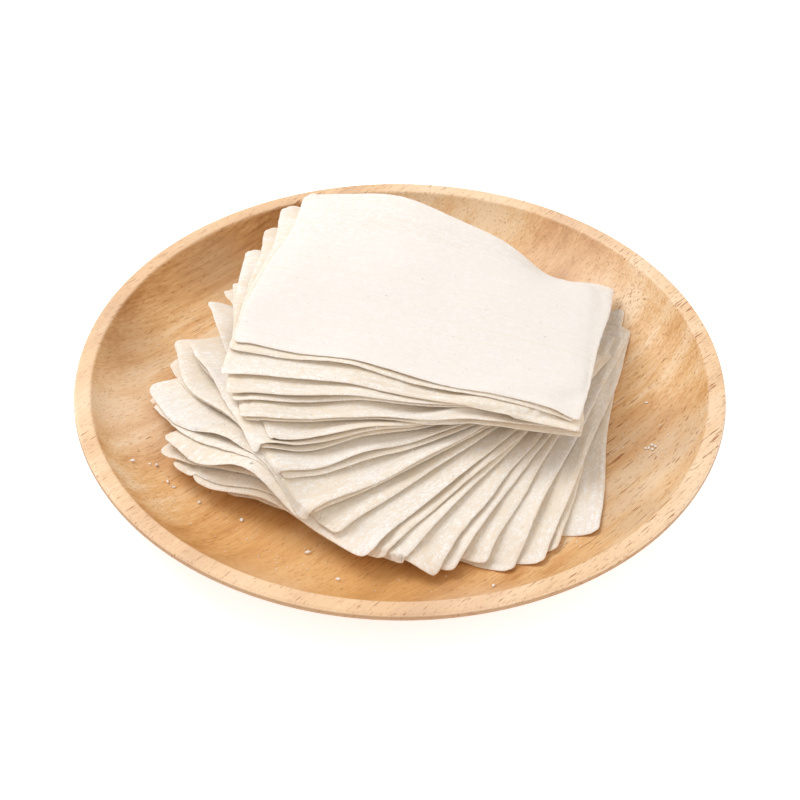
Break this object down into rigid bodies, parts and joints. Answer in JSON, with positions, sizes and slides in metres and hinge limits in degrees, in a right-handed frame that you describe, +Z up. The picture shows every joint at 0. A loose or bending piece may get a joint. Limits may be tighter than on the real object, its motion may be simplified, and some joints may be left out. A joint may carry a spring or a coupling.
{
  "type": "stack of wonton wrappers on a wooden plate",
  "caption": "Fanned stack of thin rectangular wonton wrappers, dusted with flour, on a round shallow wooden plate.",
  "frame": {"origin": "centre of the plate's foot, on the table", "axes": "+Z up, square to the table; the wrappers' fan opens towards -Y, the front of the picture, and +X is to its right"},
  "size_m": [0.2, 0.2, 0.035],
  "materials": {
    "plate_wood": "satin oiled wood with open pores",
    "dough": "matte raw dough dusted with flour"
  },
  "bodies": {
    "root": {"plate": "plate_wood", "wrapper_01": "dough", "wrapper_02": "dough", "wrapper_03": "dough", "wrapper_04": "dough", "wrapper_05": "dough", "wrapper_06": "dough", "wrapper_07": "dough", "wrapper_08": "dough", "wrapper_09": "dough", "wrapper_10": "dough", "wrapper_11": "dough", "wrapper_12": "dough", "wrapper_13": "dough", "wrapper_14": "dough", "wrapper_15": "dough", "wrapper_16": "dough", "wrapper_17": "dough", "wrapper_18": "dough", "wrapper_19": "dough", "wrapper_20": "dough", "wrapper_21": "dough", "wrapper_22": "dough", "wrapper_23": "dough", "wrapper_24": "dough", "wrapper_25": "dough"}
  },
  "joints": []
}
